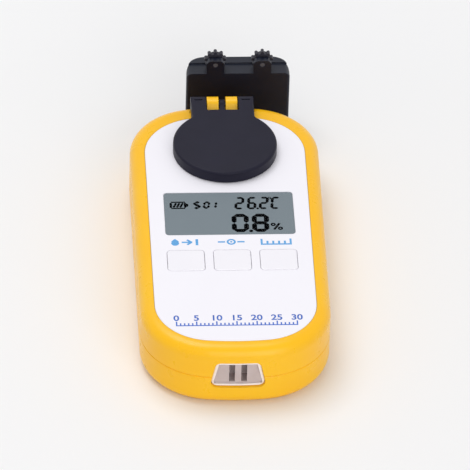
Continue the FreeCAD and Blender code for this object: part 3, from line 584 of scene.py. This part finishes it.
# The sample well is turned from stainless steel and polished, so fine rings run round its flange
# and bowl. The prism is set in its floor in a black seal.
well_low, well_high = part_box("sample_well")
well_centre = (well_low + well_high) / 2
well_steel = new_finish("well_steel", paint(200, 201, 204), 0.22, 1.0)
well_rings = add_node(well_steel, "ShaderNodeTexWave", {
    "Vector": own_place(well_steel, well_centre), "Scale": 2.2, "Distortion": 0.4, "Detail": 2.0},
    wave_type="RINGS", rings_direction="Z")
feed(well_steel,
     base_color=mixed(well_steel, clouds(well_steel, 3.0, 3.0), paint(190, 191, 194), paint(208, 209, 212)),
     roughness=spread(well_steel, clouds(well_steel, 1.6, 4.0), 0.16, 0.3),
     normal=bump(well_steel, well_rings.outputs["Fac"], 0.002, soft_edges(well_steel, 0.15)))
dress(well_steel, "sample_well")
prism_clear = new_finish("prism_clear", paint(226, 236, 238), 0.03)
shader_of(prism_clear).inputs["Transmission Weight"].default_value = 0.9
shader_of(prism_clear).inputs["IOR"].default_value = 1.72
feed(prism_clear,
     base_color=mixed(prism_clear, clouds(prism_clear, 3.0), paint(220, 231, 234), paint(232, 240, 242)),
     roughness=spread(prism_clear, clouds(prism_clear, 1.2, 4.0), 0.02, 0.08))
dress(prism_clear, "prism", "collimating_lens")
seal_black = new_finish("seal_black", paint(34, 33, 34), 0.6)
feed(seal_black,
     base_color=mixed(seal_black, clouds(seal_black, 1.2), paint(28, 27, 28), paint(44, 42, 42)),
     roughness=spread(seal_black, clouds(seal_black, 0.7), 0.5, 0.7),
     normal=bump(seal_black, clouds(seal_black, 0.1), 0.006))
dress(seal_black, "prism_seal", "cover_seal")

# Under the well a black moulded block carries the optics: a lamp of clear amber resin, the lens
# and the sensor, and two plated probes that touch the well to read its temperature.
dress(moulded_plastic("optics_black", paint(34, 34, 36), paint(40, 40, 42), paint(62, 62, 64), 0.6),
      "optics_block")
lamp_amber = new_finish("lamp_amber", paint(240, 200, 96), 0.12)
shader_of(lamp_amber).inputs["Transmission Weight"].default_value = 0.6
feed(lamp_amber,
     base_color=mixed(lamp_amber, clouds(lamp_amber, 1.5), paint(236, 190, 84), paint(244, 210, 112)),
     roughness=spread(lamp_amber, clouds(lamp_amber, 0.8), 0.08, 0.18))
dress(lamp_amber, "light_source")
probe_plate = new_finish("probe_plate", paint(212, 206, 188), 0.3, 1.0)
feed(probe_plate,
     base_color=mixed(probe_plate, clouds(probe_plate, 0.8), paint(205, 198, 178), paint(220, 215, 200)),
     roughness=spread(probe_plate, clouds(probe_plate, 0.5), 0.24, 0.38))
dress(probe_plate, "temperature_probes")

# One round cell lies in the bay under the housing. Its can is wrapped in a printed sleeve,
# dark along most of its length with a bright band at the positive end.
cell_low, cell_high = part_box("battery")
cell_length = (cell_high.y - cell_low.y) / mm
band_start = 0.72 * cell_length
band_full = 0.725 * cell_length
can_start = 0.965 * cell_length
can_full = 0.967 * cell_length
cell_sleeve = new_finish("cell_sleeve", paint(38, 44, 58), 0.3)
cell_place = add_node(cell_sleeve, "ShaderNodeSeparateXYZ", {"Vector": own_place(cell_sleeve, cell_low)})
cell_along = cell_place.outputs["Y"]
cell_band = spread(cell_sleeve, cell_along, 0.0, 1.0, source_low=band_start, source_high=band_full)
cell_can = spread(cell_sleeve, cell_along, 0.0, 1.0, source_low=can_start, source_high=can_full)
cell_tone = mixed(cell_sleeve, cell_band, paint(36, 42, 56), paint(190, 140, 70))
cell_tone = mixed(cell_sleeve, cell_can, cell_tone, paint(200, 200, 198))
cell_scuffs = spread(cell_sleeve, clouds(cell_sleeve, 2.5), 0.0, 0.12)
feed(cell_sleeve,
     base_color=mixed(cell_sleeve, cell_scuffs, cell_tone, paint(150, 150, 152)),
     metallic=spread(cell_sleeve, cell_band, 0.0, 0.9, source_low=0.0, source_high=1.0),
     roughness=spread(cell_sleeve, clouds(cell_sleeve, 1.5, 3.0), 0.24, 0.38))
dress(cell_sleeve, "battery")

# The battery cover is moulded in the same yellow and slides off over the strap end.
# Five grooves give the thumb a hold.
# The lighter yellow on its edges is partly wear and partly a painted highlight.
cover_yellow = moulded_plastic("cover_yellow", paint(254, 190, 0), paint(255, 195, 3), paint(255, 212, 62),
                               0.36, relief=0.003, gloss=0.42)
dress(cover_yellow, "battery_cover")

# A white cup is clipped into the notch at the lower end. Its face is sunk inside a polished rim, is dull,
# and has two slots that a wrist cord goes through; the sunk face is painted a darker grey than the rim, a
# painted shade in the recess.
insert_rim = 0.9
insert_foot = 7.0
insert_top = 16.1
insert_half_foot = 8.4
insert_half_top = 6.5
insert_slant = (insert_half_foot - insert_half_top) / (insert_top - insert_foot)
insert_white = new_finish("insert_white", paint(250, 243, 240), 0.36)
insert_place = add_node(insert_white, "ShaderNodeSeparateXYZ", {"Vector": own_place(insert_white)}).outputs
insert_aside = reckon(insert_white, "MULTIPLY_ADD", insert_place["Z"], insert_slant,
                      reckon(insert_white, "ABSOLUTE", insert_place["X"]))
past_sides = reckon(insert_white, "SUBTRACT", insert_aside,
                    insert_half_foot + insert_slant * insert_foot - insert_rim)
past_top = reckon(insert_white, "SUBTRACT", insert_place["Z"], insert_top - insert_rim)
past_foot = reckon(insert_white, "SUBTRACT", insert_foot + insert_rim, insert_place["Z"])
past_face = reckon(insert_white, "MAXIMUM", reckon(insert_white, "MAXIMUM", past_top, past_foot), past_sides)
on_rim = spread(insert_white, past_face, 0.0, 1.0, source_low=-0.1, source_high=0.1)
insert_dust = spread(insert_white, clouds(insert_white, 4.0, 4.0), 0.0, 1.0)
# The sunk face is painted darker than the rim: painted shade in the recess, varied by a cloud pattern.
sunk_shade_tone = mixed(insert_white, insert_dust, paint(203, 188, 186), paint(190, 174, 171))
rim_tone = mixed(insert_white, insert_dust, paint(253, 247, 244), paint(246, 238, 235))
feed(insert_white,
     base_color=mixed(insert_white, on_rim, sunk_shade_tone, rim_tone),
     roughness=spread(insert_white, on_rim, 0.5, 0.3, source_low=0.0, source_high=1.0),
     normal=bump(insert_white, clouds(insert_white, 0.3), 0.003, soft_edges(insert_white, 0.25)))
dress(insert_white, "strap_insert")

# The sample cover is a round lid on a short neck, moulded in slate-black plastic, that keeps
# light off the prism. Inside it are a foam pad and a rubber ring.
# The lid's pale edge colour is partly edge wear and partly a painted highlight along its rim.
cover_slate = moulded_plastic("cover_slate", paint(29, 28, 42), paint(33, 32, 47), paint(78, 77, 94), 0.4,
                              grain=0.2, relief=0.004, edge=0.22, gloss=0.12)
dress(cover_slate, "sample_cover")
pad_foam = new_finish("pad_foam", paint(34, 34, 36), 0.9)
pad_pores = add_node(pad_foam, "ShaderNodeTexVoronoi", {"Vector": own_place(pad_foam), "Scale": 2.4})
# Each pore is painted darker towards its middle: painted shade in the pores.
feed(pad_foam,
     base_color=mixed(pad_foam, pad_pores.outputs["Distance"], paint(20, 20, 22), paint(52, 52, 54)),
     roughness=spread(pad_foam, clouds(pad_foam, 0.8), 0.84, 0.96),
     normal=bump(pad_foam, pad_pores.outputs["Distance"], 0.12))
dress(pad_foam, "cover_lining")

# A blackened steel pin runs through the two ears of the cover and the two knuckles of the housing.
# The axles of the toothed wheels are turned from grey plastic.
pin_black = new_finish("pin_black", paint(54, 54, 58), 0.34, 1.0)
feed(pin_black,
     base_color=mixed(pin_black, clouds(pin_black, 0.9), paint(46, 46, 50), paint(64, 63, 66)),
     roughness=spread(pin_black, clouds(pin_black, 0.4, 3.0), 0.28, 0.44))
dress(pin_black, "hinge_pin")
axle_grey = new_finish("axle_grey", paint(72, 72, 80), 0.42)
feed(axle_grey,
     base_color=mixed(axle_grey, clouds(axle_grey, 0.9), paint(66, 66, 74), paint(84, 84, 92)),
     roughness=spread(axle_grey, clouds(axle_grey, 0.4, 3.0), 0.36, 0.5),
     normal=bump(axle_grey, clouds(axle_grey, 0.15), 0.002))
dress(axle_grey, "wheel_axles")

# A separate black block stands upright behind the hinge: a hollow moulded shell with a base
# plate, and two arms in front that each carry a small toothed wheel on an axle.
block_black = moulded_plastic("block_black", paint(7, 13, 30), paint(10, 16, 34), paint(60, 59, 76), 0.38,
                              grain=0.3, relief=0.006, edge=0.3, gloss=0.3)
dress(block_black, "block_shell", "block_base")
wheel_grey = moulded_plastic("wheel_grey", paint(44, 43, 52), paint(50, 49, 59), paint(92, 90, 104), 0.42,
                             grain=0.2, relief=0.004, edge=0.12, gloss=0.3)
dress(wheel_grey, "toothed_wheel_left", "toothed_wheel_right")

# The piece lies on a plain pale table that fades to white, under one large soft lamp above and a
# weaker one from the reader's side. The table can't be seen from below.
table_radius = 3.0
table_z = -0.03 * mm
fade_start = 120.0
fade_end = 420.0
bpy.ops.mesh.primitive_circle_add(vertices=96, radius=table_radius, fill_type="NGON",
                                  location=(0, 0, table_z))
table = bpy.context.object
table.name = "table"
table_pale = new_finish("table_pale", paint(246, 246, 247), 0.6)
table_far = add_node(table_pale, "ShaderNodeVectorMath", {0: own_place(table_pale)}, operation="LENGTH")
table_white = add_node(table_pale, "ShaderNodeEmission", {"Color": (1, 1, 1, 1), "Strength": 1.0})
table_mix = add_node(table_pale, "ShaderNodeMixShader", {
    0: spread(table_pale, table_far.outputs["Value"], 0.0, 1.0, source_low=fade_start, source_high=fade_end),
    1: shader_of(table_pale).outputs["BSDF"],
    2: table_white.outputs["Emission"]})
table_sides = add_node(table_pale, "ShaderNodeMixShader", {
    0: add_node(table_pale, "ShaderNodeNewGeometry").outputs["Backfacing"],
    1: table_mix.outputs["Shader"],
    2: add_node(table_pale, "ShaderNodeBsdfTransparent").outputs["BSDF"]})
table_pale.node_tree.links.new(table_sides.outputs["Shader"],
                               table_pale.node_tree.nodes["Material Output"].inputs["Surface"])
table.data.materials.append(table_pale)


def soft_lamp(name, place, target, size, light):
    """A square lamp whose light, straight in front of it at its distance, is that share of full white."""
    lamp_data = bpy.data.lights.new(name, "AREA")
    lamp_data.shape = "SQUARE"
    lamp_data.size = size
    reach = Vector(target) - Vector(place)
    lamp_data.energy = light * math.pi ** 2 * reach.length ** 2
    lamp = bpy.data.objects.new(name, lamp_data)
    lamp.location = place
    lamp.rotation_euler = reach.to_track_quat("-Z", "Y").to_euler()
    bpy.context.scene.collection.objects.link(lamp)


lit_point = (0, 0, 0.02)
soft_lamp("lamp_above", (-0.25, 0.25, 1.15), lit_point, size=0.8, light=0.45)
soft_lamp("lamp_reader", (0.3, -1.1, 0.55), lit_point, size=0.9, light=0.31)

# The room is white. It shines at half strength on the piece and shows at full strength behind it,
# and in what its glossy and clear surfaces mirror and let through.
room_light = 0.5
room_shown = 1.0
room = bpy.data.worlds.new("studio")
bpy.context.scene.world = room
room.use_nodes = True
backdrop = room.node_tree.nodes["Background"]
backdrop.inputs["Color"].default_value = (1.0, 1.0, 1.0, 1.0)
rays = add_node(room, "ShaderNodeLightPath").outputs
mirrored = reckon(room, "MAXIMUM", rays["Is Glossy Ray"], rays["Is Transmission Ray"])
room_seen = reckon(room, "MAXIMUM", rays["Is Camera Ray"], mirrored)
room_strength = spread(room, room_seen, room_light, room_shown, source_low=0.0, source_high=1.0)
room.node_tree.links.new(room_strength, backdrop.inputs["Strength"])

# The reader looks down on the piece from its lower end, a little from the left, from far away
# through a long lens, as in the photograph.
view_azimuth = math.radians(-3.55)
view_elevation = math.radians(38.645)
view_yaw = math.radians(1.0)
view_distance = 1.874
seen_point = Vector((0, -11.3 * mm, face_z))
view_target = Vector((2.0 * mm, 6.0 * mm, 12.0 * mm))
frame_height = 0.142
film_across = 36.0
towards_reader = Vector((math.sin(view_azimuth) * math.cos(view_elevation),
                         -math.cos(view_azimuth) * math.cos(view_elevation),
                         math.sin(view_elevation)))
camera_data = bpy.data.cameras.new("reader")
camera_data.sensor_width = film_across
camera_data.lens = film_across * view_distance / frame_height
camera_data.clip_start = 0.1
camera_data.clip_end = 12.0
camera = bpy.data.objects.new("reader", camera_data)
camera.location = seen_point + towards_reader * view_distance
backwards = (camera.location - view_target).normalized()
sideways = Vector((math.cos(view_yaw), -math.sin(view_yaw), 0))
sideways = (sideways - backwards * sideways.dot(backwards)).normalized()
camera.rotation_euler = Matrix((sideways, backwards.cross(sideways), backwards)).transposed().to_euler()
bpy.context.scene.collection.objects.link(camera)
bpy.context.scene.camera = camera
bpy.context.scene.view_settings.view_transform = "Standard"
